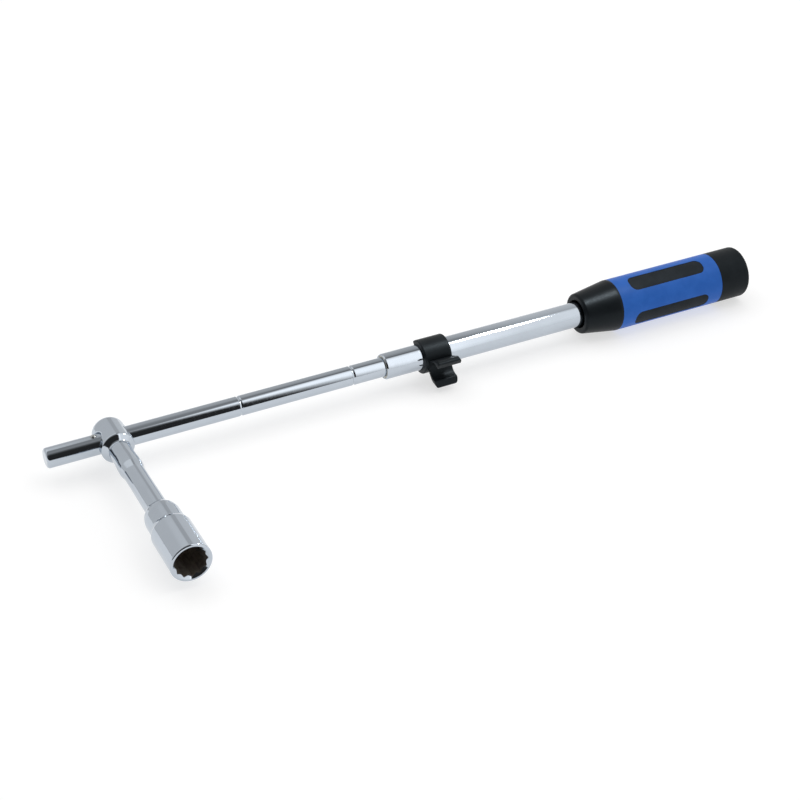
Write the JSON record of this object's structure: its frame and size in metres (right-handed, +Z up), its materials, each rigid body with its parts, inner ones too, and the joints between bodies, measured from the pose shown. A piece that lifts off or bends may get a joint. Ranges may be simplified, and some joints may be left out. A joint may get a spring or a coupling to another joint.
{
  "type": "telescopic wheel nut wrench",
  "caption": "Telescopic wheel-nut wrench: two-step socket on a sliding cross-bored shank, chrome bar extending from a tube with a storage clip and a two-colour handle.",
  "frame": {"origin": "centre of the socket's mouth, in the plane of its face", "axes": "-Y out of the socket's mouth, +X along the bar towards the handle, +Z up"},
  "size_m": [0.5464, 0.1621, 0.0384],
  "materials": {
    "chrome_forging": "polished chrome plate on a forging",
    "chrome_rod": "polished chrome plate on drawn bar",
    "chrome_tube": "polished chrome plate on tube",
    "steel_bright": "bright zinc",
    "spring_steel": "oiled spring wire",
    "nylon_sleeve": "natural nylon",
    "seal_rubber": "nitrile rubber",
    "black_grip": "semi-gloss moulded",
    "blue_grip": "satin moulded",
    "black_pad": "soft matt moulded",
    "black_cap": "fine spark-eroded texture",
    "clip_plastic": "satin moulded"
  },
  "bodies": {
    "tube": {"outer_tube": "chrome_tube", "front_sleeve": "nylon_sleeve", "rear_sleeve": "nylon_sleeve", "detent_ring": "spring_steel", "buffer_disc": "seal_rubber", "tube_plug": "steel_bright", "nose_cone": "black_grip", "grip_body": "blue_grip", "grip_pad_top": "black_pad", "grip_pad_back": "black_pad", "grip_pad_bottom": "black_pad", "grip_pad_front": "black_pad", "clamp_washer": "steel_bright", "clamp_screw": "steel_bright", "end_cap": "black_cap"},
    "rod": {"inner_rod": "chrome_rod", "stop_spring": "spring_steel", "tail_bush": "nylon_sleeve", "tail_washer": "steel_bright", "tail_screw": "steel_bright"},
    "stop_ball": {"stop_ball": "steel_bright"},
    "head_ring": {"bore_ring": "seal_rubber"},
    "socket": {"socket_wrench": "chrome_forging"},
    "clip": {"storage_clip": "clip_plastic"}
  },
  "joints": [
    {"name": "bar_telescope", "type": "slide", "parent": "tube", "child": "rod", "axis": [1, 0, 0], "range_m": [0, 0.168], "deforming": ["detent_ring"]},
    {"name": "head_slide", "type": "slide", "parent": "rod", "child": "head_ring", "axis": [1, 0, 0], "range_m": [0, 0.0155]},
    {"name": "socket_swing", "type": "hinge", "parent": "head_ring", "child": "socket", "pos_m": [0, 0.143, 0], "axis": [1, 0, 0], "continuous": true},
    {"name": "stop_ball_press", "type": "slide", "parent": "rod", "child": "stop_ball", "axis": [0, 0, -1], "range_m": [0, 0.0012], "stiffness_N_per_m": 1500, "springref_m": -0.0015, "deforming": ["stop_spring"]},
    {"name": "clip_turn", "type": "hinge", "parent": "tube", "child": "clip", "pos_m": [0.2365, 0.143, 0], "axis": [1, 0, 0], "continuous": true}
  ]
}
